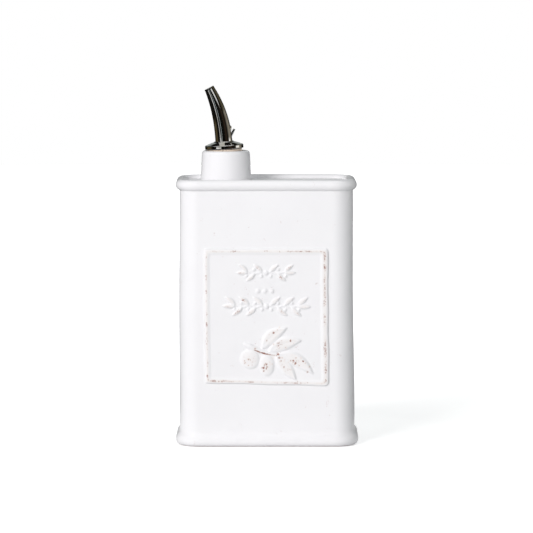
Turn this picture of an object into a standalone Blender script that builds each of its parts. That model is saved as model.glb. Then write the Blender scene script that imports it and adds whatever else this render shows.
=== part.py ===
"""Oil can: a slip-cast, glazed ceramic can, closed by a cork that carries a metal pourer.

Metres, +Z up. The origin is the middle of the underside. The front, with the raised panel,
faces -Y, and the neck stands near the -X end of the top.

The can is a rounded rectangle carried up a profile with a bead at the foot and another round the
recessed top. The cork leans a little in the neck, so it and the pourer are modelled upright on an
axis of their own, which an empty then tips.
"""

import math

import bmesh
import bpy
from mathutils import Vector

# The can's wall, outside
BODY_WIDTH_TOP = 0.1136
BODY_WIDTH_BASE = 0.1154
BODY_DEPTH = 0.0600
CORNER_RADIUS = 0.0130
CAN_HEIGHT = 0.1753

# The hollow inside
WALL = 0.0045
FLOOR = 0.0050
CAVITY_ROUNDING = 0.0035

# The beads at the foot and round the top
RIM_REACH = 0.0026
RIM_HALF_WIDTH = 0.0036
TOP_RIM_HALF_HEIGHT = 0.0036
FOOT_RIM_HALF_HEIGHT = 0.0041
RIM_BLEND = 0.0008
RIM_LEAVING_ANGLE = 45.0
TOP_RECESS = 0.0023
TOP_RECESS_BLEND = 0.0012

# The underside, which stands on a band round its edge
FOOT_BAND = 0.0065
FOOT_RECESS = 0.0012
FOOT_RECESS_DRAFT = 0.0008

# The neck
NECK_OFFSET = 0.0268
NECK_HEIGHT = 0.0201
NECK_BASE_RADIUS = 0.0167
NECK_TOP_RADIUS = 0.0158
NECK_FILLET = 0.0026
NECK_FILLET_DIP = 0.00025
NECK_ROOT = 0.0015
NECK_LIP_ROUNDING = 0.0016
MOUTH_CHAMFER = 0.0009

# The raised panel on the front
PANEL_WIDTH = 0.0810
PANEL_HEIGHT = 0.0893
PANEL_CENTRE_HEIGHT = 0.0858
PANEL_THICKNESS = 0.0010
PANEL_CORNER_RADIUS = 0.0022
PANEL_FALL = 0.0018
PANEL_ROOT = 0.0012
FRAME_WIDTH = 0.0043
FRAME_HEIGHT = 0.0007
FRAME_SLOPE = 0.0006

# The olive sprig on the panel. Places are shares of the panel's width and height from its middle.
SPRIG_ROOT = 0.0006
LEAF_EDGE_HEIGHT = 0.0002
LEAF_RIDGE_HEIGHT = 0.0010
LEAF_PEAK_SHARE = 0.78
LEAF_SHARES = (
    ((-0.034, -0.222), (0.163, -0.075), 0.089),
    ((0.011, -0.247), (0.276, -0.166), 0.080),
    ((0.071, -0.269), (0.366, -0.416), 0.097),
    ((0.075, -0.280), (0.227, -0.460), 0.093),
)
OLIVE_HEIGHT = 0.0013
OLIVE_SHARES = (
    ((-0.138, -0.315), 0.158, 0.144),
    ((0.006, -0.358), 0.126, 0.158),
)
TWIG_RADIUS = 0.0008
TWIG_SHARES = ((-0.175, -0.196), (-0.114, -0.229), (-0.054, -0.253), (0.003, -0.262), (0.075, -0.280))

# The cork, and how it sits in the neck
STOPPER_LEAN = 3.4
STOPPER_PIVOT_SHARE = 0.67
CORK_LENGTH = 0.0240
CORK_STAND = 0.00085
CORK_TOP_RADIUS = 0.0116
CORK_FOOT_RADIUS = 0.0096
CORK_CHAMFER = 0.0006
FIT_GAP = 0.0003

# The pourer's flange, a pressed cup with a collar
FLANGE_RADIUS = 0.01265
FLANGE_SKIRT = 0.0026
FLANGE_RISE = 0.0018
FLANGE_SHEET = 0.0007
FLANGE_ROUNDING = 0.0006
FLANGE_BOW = 0.0003
COLLAR_HEIGHT = 0.0005
COLLAR_WIDTH = 0.0006

# The spout, a horn that leaves the stopper's axis as a power of its height
SPOUT_BASE_RADIUS = 0.00535
SPOUT_TIP_RADIUS = 0.0029
SPOUT_SHEET = 0.0005
SPOUT_HEIGHT = 0.0376
SPOUT_REACH = 0.0076
SPOUT_BEND_POWER = 2.2
SPOUT_TAPER_POWER = 1.85
SPOUT_SOCKET = 0.0014

# The stem through the cork, which fits inside the spout's foot
STEM_WALL = 0.0005
STEM_LAP = 0.0012
STEM_BEAD = 0.0008
STEM_TAIL = 0.0030

# The air tube, and the slot in the spout's back that it comes out of
AIR_TUBE_RADIUS = 0.00075
AIR_TUBE_BORE = 0.00045
AIR_TUBE_BEND = 29.0
AIR_TUBE_BEND_RADIUS = 0.0060
AIR_TUBE_REACH = 0.0074
AIR_TUBE_TAIL = 0.0080
AIR_BEND_RISE = 0.0002
SLOT_HEIGHT = 0.0075
SLOT_RISE = 0.0010
HOOD_REACH = 0.0012
HOOD_DROP = 0.0030

# How finely round forms are divided, and the tolerances of making them
CORNER_STEPS = 8
BEAD_STEPS = 8
BLEND_STEPS = 4
ROUND_STEPS = 48
SPOUT_ROUND_STEPS = 32
SPOUT_RINGS = 14
TUBE_ROUND_STEPS = 16
TUBE_BEND_STEPS = 6
LEAF_STATIONS = 9
OLIVE_STEPS = 16
TWIG_SIDES = 8
MERGE = 0.00001
OVERRUN = 0.0020

# Heights and places that follow from the sizes above
TOP_HEIGHT = CAN_HEIGHT - TOP_RECESS
MOUTH_HEIGHT = TOP_HEIGHT + NECK_HEIGHT
FRONT = -BODY_DEPTH / 2
FIELD = FRONT - PANEL_THICKNESS
RIM_MIDDLE = RIM_REACH - RIM_HALF_WIDTH
CORK_FOOT = CORK_STAND - CORK_LENGTH
FLANGE_FOOT = CORK_STAND + FIT_GAP
FLANGE_SHOULDER = FLANGE_FOOT + FLANGE_SKIRT
FLANGE_CROWN = FLANGE_SHOULDER + FLANGE_RISE
SPOUT_FOOT = FLANGE_CROWN - SPOUT_SOCKET
STEM_RADIUS = SPOUT_BASE_RADIUS - SPOUT_SHEET - FIT_GAP
AIR_TUBE_OFFSET = STEM_RADIUS - STEM_WALL - FIT_GAP - AIR_TUBE_RADIUS


def clear_scene():
    for obj in list(bpy.data.objects):
        bpy.data.objects.remove(obj)


def finish(name, solid, smooth_angle=35):
    """Turns a bmesh into a named object in the scene, smooth over its gentle edges."""
    bmesh.ops.recalc_face_normals(solid, faces=solid.faces)
    mesh = bpy.data.meshes.new(name)
    solid.to_mesh(mesh)
    solid.free()
    mesh.shade_smooth()
    mesh.set_sharp_from_angle(angle=math.radians(smooth_angle))
    obj = bpy.data.objects.new(name, mesh)
    bpy.context.scene.collection.objects.link(obj)
    return obj


def helper(obj):
    """Marks a solid that only joins or cuts another one."""
    obj.hide_render = True
    obj.display_type = "WIRE"
    return obj


def combine(target, operation, tool):
    modifier = target.modifiers.new(f"{operation.lower()} {tool.name}", "BOOLEAN")
    modifier.operation = operation
    modifier.object = helper(tool)


def lofted(name, rings, closed=False):
    """Skins rings of equally many points. A closed loft joins its ends; an open one is capped."""
    solid = bmesh.new()
    loops = [[solid.verts.new(point) for point in ring] for ring in rings]
    pairs = list(zip(loops, loops[1:]))
    if closed:
        pairs.append((loops[-1], loops[0]))
    for lower, upper in pairs:
        for i in range(len(lower)):
            j = (i + 1) % len(lower)
            solid.faces.new((lower[i], lower[j], upper[j], upper[i]))
    if not closed:
        solid.faces.new(loops[0])
        solid.faces.new(loops[-1])
    return finish(name, solid)


def turned(name, profile, closed=False, steps=ROUND_STEPS):
    """Spins (radius, height) points round Z. A closed profile makes a ring; an open one has its
    ends on the axis."""
    solid = bmesh.new()
    points = [solid.verts.new((radius, 0, height)) for radius, height in profile]
    edges = [solid.edges.new(pair) for pair in zip(points, points[1:])]
    if closed:
        edges.append(solid.edges.new((points[-1], points[0])))
    bmesh.ops.spin(
        solid, geom=points + edges, cent=(0, 0, 0), axis=(0, 0, 1), angle=math.tau, steps=steps, use_merge=True
    )
    bmesh.ops.remove_doubles(solid, verts=solid.verts, dist=MERGE)
    return finish(name, solid)


def hulled(name, points):
    """The solid that a skin stretched over the points would hold."""
    solid = bmesh.new()
    for point in points:
        solid.verts.new(point)
    made = bmesh.ops.convex_hull(solid, input=solid.verts)
    spare = [item for item in made["geom_interior"] if isinstance(item, bmesh.types.BMVert)]
    bmesh.ops.delete(solid, geom=spare, context="VERTS")
    return finish(name, solid)


def arc(middle, reach, rise, start, end, steps):
    """Points of an ellipse from one angle to another, in degrees, as (across, up)."""
    angles = [math.radians(start + (end - start) * i / steps) for i in range(steps + 1)]
    return [(middle[0] + reach * math.cos(a), middle[1] + rise * math.sin(a)) for a in angles]


def blend(start, bend, end, steps):
    """Points after the first of a curve that leaves start and reaches end, both heading for bend."""
    points = []
    for i in range(1, steps + 1):
        t = i / steps
        points.append(
            tuple((1 - t) ** 2 * a + 2 * t * (1 - t) * b + t * t * c for a, b, c in zip(start, bend, end))
        )
    return points


def can_ring(offset, height):
    """A rounded rectangle that runs round the can at a height, offset outwards from its wall."""
    width = BODY_WIDTH_BASE + (BODY_WIDTH_TOP - BODY_WIDTH_BASE) * height / CAN_HEIGHT
    radius = CORNER_RADIUS + offset
    half_width = width / 2 - CORNER_RADIUS
    half_depth = BODY_DEPTH / 2 - CORNER_RADIUS
    points = []
    for quarter, (side_x, side_y) in enumerate(((1, 1), (-1, 1), (-1, -1), (1, -1))):
        for step in range(CORNER_STEPS + 1):
            angle = math.radians(90) * (quarter + step / CORNER_STEPS)
            x = side_x * half_width + radius * math.cos(angle)
            y = side_y * half_depth + radius * math.sin(angle)
            points.append((x, y, height))
    return points


def bead_profile(middle_height, half_height, towards):
    """The outer half of a bead, and the hollow that blends it into the wall. It runs from the
    bead's far side to the wall, which lies above the bead where towards is 1 and below it at -1."""
    middle = (RIM_MIDDLE, middle_height)
    points = arc(middle, RIM_HALF_WIDTH, half_height * towards, -90, RIM_LEAVING_ANGLE, BEAD_STEPS)
    leaves = points[-1]
    wall_height = leaves[1] + towards * half_height * leaves[0] / RIM_HALF_WIDTH
    bend = (0, wall_height)
    return points + blend(leaves, bend, (0, wall_height + towards * RIM_BLEND), BLEND_STEPS)


def can_profile():
    """(offset, height) from the middle of the underside, up the outside, to the recessed top."""
    foot_inside = RIM_MIDDLE - FOOT_BAND
    underside = [(foot_inside - FOOT_RECESS_DRAFT, FOOT_RECESS), (foot_inside, 0)]
    foot = bead_profile(FOOT_RIM_HALF_HEIGHT, FOOT_RIM_HALF_HEIGHT, 1)
    top_middle = CAN_HEIGHT - TOP_RIM_HALF_HEIGHT
    top = bead_profile(top_middle, TOP_RIM_HALF_HEIGHT, -1)[::-1]
    inner = arc((RIM_MIDDLE, top_middle), RIM_HALF_WIDTH, TOP_RIM_HALF_HEIGHT, 90, 180, BEAD_STEPS // 2)[1:]
    inside = RIM_MIDDLE - RIM_HALF_WIDTH
    down = blend(inner[-1], (inside, TOP_HEIGHT), (inside - TOP_RECESS_BLEND, TOP_HEIGHT), BLEND_STEPS)
    return underside + foot + top + inner + down


def make_can_shell():
    return lofted("can_body", [can_ring(offset, height) for offset, height in can_profile()])


def make_neck():
    """The neck as a solid plug: it swells into the can's top and has a rounded lip."""
    root = TOP_HEIGHT - NECK_ROOT
    foot = TOP_HEIGHT + NECK_FILLET - NECK_FILLET_DIP
    fillet = arc((NECK_BASE_RADIUS + NECK_FILLET, foot), NECK_FILLET, NECK_FILLET, 270, 180, BLEND_STEPS + 1)
    lip_middle = (NECK_TOP_RADIUS - NECK_LIP_ROUNDING, MOUTH_HEIGHT - NECK_LIP_ROUNDING)
    lip = arc(lip_middle, NECK_LIP_ROUNDING, NECK_LIP_ROUNDING, 0, 90, BLEND_STEPS)
    profile = [(0, root), (fillet[0][0], root), *fillet, *lip, (0, MOUTH_HEIGHT)]
    neck = turned("neck", profile)
    neck.location.x = -NECK_OFFSET
    return neck


def make_cavity():
    """The hollow for the oil, with rounded edges at its floor and ceiling."""
    low = FOOT_RECESS + FLOOR
    high = TOP_HEIGHT - WALL
    inset = -WALL - CAVITY_ROUNDING
    floor = arc((inset, low + CAVITY_ROUNDING), CAVITY_ROUNDING, CAVITY_ROUNDING, -90, 0, BLEND_STEPS)
    ceiling = arc((inset, high - CAVITY_ROUNDING), CAVITY_ROUNDING, CAVITY_ROUNDING, 0, 90, BLEND_STEPS)
    return lofted("cavity", [can_ring(offset, height) for offset, height in floor + ceiling])


def cork_radius(height):
    """The cork's radius at a height above the neck's mouth, along the stopper's axis."""
    share = (height - CORK_FOOT) / CORK_LENGTH
    return CORK_FOOT_RADIUS + (CORK_TOP_RADIUS - CORK_FOOT_RADIUS) * share


def make_bore(axis):
    """The passage through the neck: it follows the cork's taper with a gap, then runs straight."""
    depth = -(NECK_HEIGHT + WALL + OVERRUN)
    straight = cork_radius(CORK_FOOT) + FIT_GAP
    top = cork_radius(OVERRUN) + FIT_GAP
    bore = turned("bore", [(0, depth), (straight, depth), (straight, CORK_FOOT), (top, OVERRUN), (0, OVERRUN)])
    bore.parent = axis
    return bore


def make_mouth_bevel(axis):
    """A cone that takes the edge off the bore, square to the neck's lip."""
    bottom = cork_radius(0) + FIT_GAP
    top = bottom + MOUTH_CHAMFER + OVERRUN
    bevel = turned("mouth_bevel", [(0, -MOUTH_CHAMFER), (bottom, -MOUTH_CHAMFER), (top, OVERRUN), (0, OVERRUN)])
    bevel.location = axis.location
    return bevel


def panel_ring(inset, depth):
    """The panel's outline at a depth along Y: a rounded rectangle whose lower edge falls to the right."""
    radius = PANEL_CORNER_RADIUS
    half_width = PANEL_WIDTH / 2 - radius - inset
    half_height = PANEL_HEIGHT / 2 - radius - inset
    points = []
    for quarter, (side_x, side_z) in enumerate(((1, 1), (-1, 1), (-1, -1), (1, -1))):
        for step in range(BLEND_STEPS + 1):
            angle = math.radians(90) * (quarter + step / BLEND_STEPS)
            x = side_x * half_width + radius * math.cos(angle)
            z = side_z * half_height + radius * math.sin(angle)
            points.append(on_panel(x / PANEL_WIDTH, z / PANEL_HEIGHT, depth))
    return points


def on_panel(across, up, depth):
    """A place on the panel from its shares, with the fall of the panel's lower edge."""
    fall = PANEL_FALL * across * (0.5 - up)
    return Vector((across * PANEL_WIDTH, depth, PANEL_CENTRE_HEIGHT + up * PANEL_HEIGHT - fall))


def make_panel():
    """A plate on the front wall with a raised frame round its field."""
    frame = FIELD - FRAME_HEIGHT
    rings = [
        panel_ring(0, FRONT + PANEL_ROOT),
        panel_ring(0, frame + FRAME_SLOPE),
        panel_ring(FRAME_SLOPE, frame),
        panel_ring(FRAME_WIDTH - FRAME_SLOPE, frame),
        panel_ring(FRAME_WIDTH, FIELD),
    ]
    return lofted("panel", rings)


def make_leaf(number, base_shares, tip_shares, width_share):
    """A pointed leaf with a ridge down its middle, its lower part let into the panel."""
    base = on_panel(*base_shares, FIELD)
    tip = on_panel(*tip_shares, FIELD)
    along = tip - base
    across = Vector((-along.z, 0, along.x)).normalized() * (width_share * PANEL_WIDTH / 2)
    outwards = Vector((0, -1, 0))
    points = []
    for i in range(LEAF_STATIONS):
        t = i / (LEAF_STATIONS - 1)
        swell = math.sin(math.pi * t**LEAF_PEAK_SHARE)
        middle = base + along * t
        for side in (-1, 1):
            edge = middle + across * (side * swell)
            points.append(edge - outwards * SPRIG_ROOT)
            points.append(edge + outwards * LEAF_EDGE_HEIGHT)
        ridge = LEAF_EDGE_HEIGHT + (LEAF_RIDGE_HEIGHT - LEAF_EDGE_HEIGHT) * swell
        points.append(middle + outwards * ridge)
    return hulled(f"leaf_{number}", points)


def make_olive(number, middle_shares, width_share, height_share):
    """An egg-shaped olive, half of it let into the panel."""
    solid = bmesh.new()
    bmesh.ops.create_uvsphere(solid, u_segments=OLIVE_STEPS, v_segments=OLIVE_STEPS // 2, radius=1)
    size = (width_share * PANEL_WIDTH / 2, OLIVE_HEIGHT, height_share * PANEL_HEIGHT / 2)
    bmesh.ops.scale(solid, vec=size, verts=solid.verts)
    bmesh.ops.translate(solid, vec=on_panel(*middle_shares, FIELD), verts=solid.verts)
    return finish(f"olive_{number}", solid)


def tube_rings(path, radii, steps):
    """Circles round the points of a path that lies in the XZ plane, square to it."""
    rings = []
    for i, point in enumerate(path):
        before = path[max(i - 1, 0)]
        after = path[min(i + 1, len(path) - 1)]
        tangent = (after - before).normalized()
        side = Vector((tangent.z, 0, -tangent.x))
        radius = radii[i] if isinstance(radii, list) else radii
        angles = [math.tau * k / steps for k in range(steps)]
        rings.append([point + side * (radius * math.cos(a)) + Vector((0, radius * math.sin(a), 0)) for a in angles])
    return rings


def make_twig():
    path = [on_panel(across, up, FIELD) for across, up in TWIG_SHARES]
    return lofted("twig", tube_rings(path, TWIG_RADIUS, TWIG_SIDES))


def make_can(axis):
    can = make_can_shell()
    combine(can, "UNION", make_neck())
    combine(can, "UNION", make_panel())
    for number, shares in enumerate(LEAF_SHARES, 1):
        combine(can, "UNION", make_leaf(number, *shares))
    combine(can, "UNION", make_twig())
    for number, shares in enumerate(OLIVE_SHARES, 1):
        combine(can, "UNION", make_olive(number, *shares))
    combine(can, "DIFFERENCE", make_cavity())
    combine(can, "DIFFERENCE", make_bore(axis))
    combine(can, "DIFFERENCE", make_mouth_bevel(axis))
    return can


def make_stopper_axis():
    """An empty at the middle of the neck's mouth, on the line that the cork is pushed in along.
    The line crosses the neck's own axis part of the way down the cork."""
    lean = math.radians(STOPPER_LEAN)
    pivot = CORK_LENGTH * STOPPER_PIVOT_SHARE
    axis = bpy.data.objects.new("stopper_axis", None)
    bpy.context.scene.collection.objects.link(axis)
    axis.location = (-NECK_OFFSET - pivot * math.sin(lean), 0, MOUTH_HEIGHT)
    axis.rotation_euler.y = -lean
    return axis


def make_cork():
    """A tapered cork with a hole down its middle for the stem."""
    hole = STEM_RADIUS + FIT_GAP
    profile = [
        (hole, CORK_FOOT),
        (CORK_FOOT_RADIUS - CORK_CHAMFER, CORK_FOOT),
        (cork_radius(CORK_FOOT + CORK_CHAMFER), CORK_FOOT + CORK_CHAMFER),
        (cork_radius(CORK_STAND - CORK_CHAMFER / 2), CORK_STAND - CORK_CHAMFER / 2),
        (CORK_TOP_RADIUS - CORK_CHAMFER / 2, CORK_STAND),
        (hole, CORK_STAND),
    ]
    return turned("cork_stopper", profile, closed=True)


def make_flange():
    """A pressed cup, upside down: skirt, rounded shoulder, bowed crown and a collar for the spout."""
    hole = SPOUT_BASE_RADIUS + FIT_GAP
    collar = hole + COLLAR_WIDTH
    top = FLANGE_CROWN + COLLAR_HEIGHT
    shoulder = FLANGE_RADIUS - FLANGE_ROUNDING
    curl = FLANGE_SHEET / 2
    rise = (shoulder, FLANGE_SHOULDER)
    bow = ((shoulder + collar) / 2, (FLANGE_SHOULDER + FLANGE_CROWN) / 2 + FLANGE_BOW)
    outside = [
        (FLANGE_RADIUS - curl, FLANGE_FOOT),
        (FLANGE_RADIUS, FLANGE_FOOT + curl),
        *arc((shoulder, FLANGE_SHOULDER - FLANGE_ROUNDING), FLANGE_ROUNDING, FLANGE_ROUNDING, 0, 90, BLEND_STEPS),
        *blend(rise, bow, (collar + COLLAR_WIDTH, FLANGE_CROWN), BLEND_STEPS),
        (collar, FLANGE_CROWN + COLLAR_WIDTH / 2),
        (collar, top),
        (hole, top),
    ]
    wall = FLANGE_RADIUS - FLANGE_SHEET
    inside = [
        (hole, FLANGE_CROWN - FLANGE_SHEET),
        (collar, FLANGE_CROWN - FLANGE_SHEET),
        (wall - FLANGE_ROUNDING, FLANGE_SHOULDER - FLANGE_SHEET),
        (wall, FLANGE_SHOULDER - FLANGE_SHEET - FLANGE_ROUNDING),
        (wall, FLANGE_FOOT + 2 * curl),
        (wall - curl, FLANGE_FOOT + curl),
        (wall - curl, FLANGE_FOOT),
    ]
    return turned("spout_flange", outside + inside, closed=True)


def spout_path(share):
    """The place on the spout's middle line at a share of its height."""
    return Vector((-SPOUT_REACH * share**SPOUT_BEND_POWER, 0, SPOUT_FOOT + SPOUT_HEIGHT * share))


def spout_radius(share):
    return SPOUT_BASE_RADIUS + (SPOUT_TIP_RADIUS - SPOUT_BASE_RADIUS) * share**SPOUT_TAPER_POWER


def make_slot_cutter(low, high, width):
    """A slot with round ends through the spout's back wall."""
    half = width / 2
    outline = arc((0, high - half), half, half, 0, 180, BEAD_STEPS)
    outline += arc((0, low + half), half, half, 180, 360, BEAD_STEPS)
    inner = SPOUT_BASE_RADIUS / 2
    outer = SPOUT_BASE_RADIUS + OVERRUN
    return lofted("vent_slot", [[(x, y, z) for y, z in outline] for x in (inner, outer)])


def make_slot_hood(slot_top, slot_width):
    """The metal pushed out round the top of the slot: a shelf over it, and a cheek on each side
    that runs out further down."""
    half = slot_width / 2 + SPOUT_SHEET
    points = []
    for height, reach in (
        (slot_top - HOOD_DROP, 0),
        (slot_top, HOOD_REACH),
        (slot_top + SPOUT_SHEET, HOOD_REACH),
        (slot_top + 2 * SPOUT_SHEET, 0),
    ):
        share = (height - SPOUT_FOOT) / SPOUT_HEIGHT
        wall = spout_path(share).x + spout_radius(share)
        for side in (-1, 1):
            points.append((wall - SPOUT_SHEET / 2, side * half, height))
            points.append((wall + reach - SPOUT_SHEET / 2, side * half, height))
            points.append((wall + reach, side * half / 2, height))
    return hulled("slot_hood", points)


def make_spout(axis):
    """A tapering tube of thin sheet, open at both ends, with a slot for the air tube in its back."""
    shares = [i / SPOUT_RINGS for i in range(SPOUT_RINGS + 1)]
    path = [spout_path(share) for share in shares]
    outside = tube_rings(path, [spout_radius(share) for share in shares], SPOUT_ROUND_STEPS)
    inside = tube_rings(path, [spout_radius(share) - SPOUT_SHEET for share in shares], SPOUT_ROUND_STEPS)
    spout = lofted("pour_spout", outside + inside[::-1], closed=True)
    low = FLANGE_CROWN + COLLAR_HEIGHT + SLOT_RISE
    high = low + SLOT_HEIGHT
    width = 2 * (AIR_TUBE_RADIUS + FIT_GAP)
    hood = make_slot_hood(high, width)
    cutter = make_slot_cutter(low, high, width)
    hood.parent = axis
    cutter.parent = axis
    combine(spout, "UNION", hood)
    combine(spout, "DIFFERENCE", cutter)
    return spout


def make_stem():
    """A straight tube: its top laps inside the spout, and a bead below the cork keeps the cork on."""
    inside = STEM_RADIUS - STEM_WALL
    top = SPOUT_FOOT + STEM_LAP
    bead_top = CORK_FOOT - FIT_GAP
    bead_foot = bead_top - 2 * STEM_BEAD
    foot = bead_foot - STEM_TAIL
    bead_middle = (STEM_RADIUS, (bead_top + bead_foot) / 2)
    bead = arc(bead_middle, STEM_BEAD, STEM_BEAD, -90, 90, BLEND_STEPS)
    profile = [(inside, foot), (STEM_RADIUS, foot), *bead, (STEM_RADIUS, top), (inside, top)]
    return turned("stem_tube", profile, closed=True, steps=SPOUT_ROUND_STEPS)


def air_tube_path():
    """Straight up inside the stem, round a bend towards the spout's back, and out through the slot."""
    foot = CORK_FOOT - FIT_GAP - 2 * STEM_BEAD - STEM_TAIL - AIR_TUBE_TAIL
    start = SPOUT_FOOT + AIR_BEND_RISE
    bend = math.radians(AIR_TUBE_BEND)
    path = [Vector((AIR_TUBE_OFFSET, 0, foot))]
    for i in range(TUBE_BEND_STEPS + 1):
        turn = bend * i / TUBE_BEND_STEPS
        x = AIR_TUBE_OFFSET + AIR_TUBE_BEND_RADIUS * (1 - math.cos(turn))
        path.append(Vector((x, 0, start + AIR_TUBE_BEND_RADIUS * math.sin(turn))))
    heading = Vector((math.sin(bend), 0, math.cos(bend)))
    path.append(path[-1] + heading * AIR_TUBE_REACH)
    return path


def make_air_tube():
    path = air_tube_path()
    outside = tube_rings(path, AIR_TUBE_RADIUS, TUBE_ROUND_STEPS)
    inside = tube_rings(path, AIR_TUBE_BORE, TUBE_ROUND_STEPS)
    return lofted("air_tube", outside + inside[::-1], closed=True)


def paint(obj, name, colour, roughness, metallic=0.0):
    material = bpy.data.materials.new(name)
    material.use_nodes = True
    shader = material.node_tree.nodes["Principled BSDF"]
    shader.inputs["Base Color"].default_value = (*colour, 1.0)
    shader.inputs["Roughness"].default_value = roughness
    shader.inputs["Metallic"].default_value = metallic
    obj.data.materials.append(material)


def main():
    clear_scene()
    axis = make_stopper_axis()
    paint(make_can(axis), "white_glaze", (0.90, 0.90, 0.90), 0.25)
    cork = make_cork()
    flange = make_flange()
    spout = make_spout(axis)
    stem = make_stem()
    air_tube = make_air_tube()
    for piece in (cork, flange, spout, stem, air_tube):
        piece.parent = axis
    paint(cork, "natural_cork", (0.66, 0.46, 0.32), 0.85)
    for piece in (flange, spout, stem, air_tube):
        paint(piece, f"chromed_{piece.name}", (0.62, 0.61, 0.59), 0.12, metallic=1.0)


main()
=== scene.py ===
"""Dresses the oil can: a white tin-glazed earthenware can with a raised panel, a natural cork and a
chromed pourer.

Metres, +Z up, the front facing -Y. Each piece is a surface worked out with numpy and stands for a
solid of the frame.
"""

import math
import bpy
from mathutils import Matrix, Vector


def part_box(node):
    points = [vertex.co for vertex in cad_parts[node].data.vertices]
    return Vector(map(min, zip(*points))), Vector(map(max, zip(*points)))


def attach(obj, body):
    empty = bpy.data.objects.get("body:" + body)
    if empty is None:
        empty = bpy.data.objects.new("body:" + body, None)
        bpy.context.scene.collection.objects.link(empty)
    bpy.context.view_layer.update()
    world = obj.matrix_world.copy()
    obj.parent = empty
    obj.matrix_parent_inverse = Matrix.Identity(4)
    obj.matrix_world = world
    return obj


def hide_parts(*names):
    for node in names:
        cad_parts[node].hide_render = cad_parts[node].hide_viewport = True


bl_info = {
    "name": "Oil can dressing",
    "version": (1, 0, 0),
    "blender": (4, 5, 0),
    "location": "3D View > Sidebar > Oil can",
    "description": "Builds the glazed can, its cork and its chromed pourer around the frame",
    "category": "Object",
}

from functools import partial

import bpy
import numpy as np
from bpy.props import FloatProperty, FloatVectorProperty, PointerProperty
from mathutils import Vector

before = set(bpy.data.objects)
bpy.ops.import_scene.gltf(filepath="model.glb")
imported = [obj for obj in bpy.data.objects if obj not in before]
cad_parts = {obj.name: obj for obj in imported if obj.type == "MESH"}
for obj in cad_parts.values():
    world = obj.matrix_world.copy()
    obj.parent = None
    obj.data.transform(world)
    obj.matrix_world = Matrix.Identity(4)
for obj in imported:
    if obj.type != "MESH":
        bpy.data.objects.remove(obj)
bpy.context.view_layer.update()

MM = 0.001
TINY = 1e-9

# The can's wall
WIDTH_TOP = 0.1136
WIDTH_BASE = 0.1154
DEPTH = 0.0600
CORNER_RADIUS = 0.0130
CAN_HEIGHT = 0.1753
WALL = 0.0045
FLOOR = 0.0050
CAVITY_ROUNDING = 0.0035

# The beads at the foot and round the top. Each leaves for the wall at an angle in degrees and runs out
# over a length.
RIM_REACH = 0.0026
RIM_HALF_WIDTH = 0.0036
RIM_MIDDLE = RIM_REACH - RIM_HALF_WIDTH
TOP_RIM_HALF_HEIGHT = 0.0036
FOOT_RIM_HALF_HEIGHT = 0.0041
TOP_RIM_LEAVING = (64.0, 0.0004)
FOOT_RIM_LEAVING = (45.0, 0.0018)
RECESS_DEPTH = 0.0023
RECESS_BLEND = 0.0012
TOP_HEIGHT = CAN_HEIGHT - RECESS_DEPTH
FOOT_RECESS = 0.0012
FOOT_EDGE = RIM_MIDDLE - 0.0065
FOOT_BEND = FOOT_EDGE - 0.0002
UNDERSIDE_EDGE = FOOT_EDGE - 0.0014
UNDERSIDE_SHARES = (0.1, 0.35, 0.6, 0.8, 0.93)
GROUND_SHARES = (0.8, 0.5, 0.2)

# Where the unevenness of the wall fades out: distances from the neck, and heights
NEAR_NECK = (0.019, 0.033)
UP_TO_NECK = (0.150, 0.169)
OFF_THE_FLOOR = (0.02, 0.17)

# The neck, and the cork's line through its mouth
NECK_OFFSET = 0.0268
NECK_BASE_RADIUS = 0.0167
NECK_TOP_RADIUS = 0.0158
NECK_FILLET = 0.0026
LIP_ROUNDING = 0.0022
MOUTH_FLARE = 0.0012
MOUTH_BEND = 0.0003
MOUTH_BEVEL = 0.0011
BORE_RUN_OUT = 0.0008
MOUTH_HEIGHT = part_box("can_body")[1].z
STOPPER_LEAN = math.radians(3.4)
STOPPER_PLACE = np.array((-0.0277536, 0, MOUTH_HEIGHT))
FIT_GAP = 0.0003

# The panel, the field inside its moulding, and the grid that carries it
FRONT = -DEPTH / 2
PANEL_SIZE = np.array((0.0810, 0.0893))
PANEL_MIDDLE_HEIGHT = 0.0858
PANEL_FALL = 0.0018
PANEL_MARGIN = 0.0016
PANEL_BACK = 0.0015
PANEL_ROUNDING = 0.0009
PANEL_CORNER = 0.0015
PANEL_WORN_CORNER = 0.0007
PANEL_WOBBLE = 0.00014
PANEL_SWELL = 0.00006
FIELD_MIDDLE = -0.00075
FIELD_HALF = PANEL_SIZE / 2 - (0.00425, 0.0038)
FIELD_CORNER = 0.0012
POOL_DEPTH = 0.00014
POOL_WIDTH = 0.0008
PANEL_SINK = 0.0006
PANEL_SINK_OVER = (0.0005, 0.0013)
FINE_STEP = 0.00016
COARSE_STEP = 0.00033
FINE_BAND_INSET = 0.0003
FINE_BAND_HALF_WIDTH = 0.0011

# The cork
CORK_LENGTH = 0.0240
CORK_STAND = 0.00085
CORK_FOOT = CORK_STAND - CORK_LENGTH
CORK_TOP_RADIUS = 0.0116
CORK_FOOT_RADIUS = 0.0096
CORK_CHAMFER = 0.0006

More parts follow.
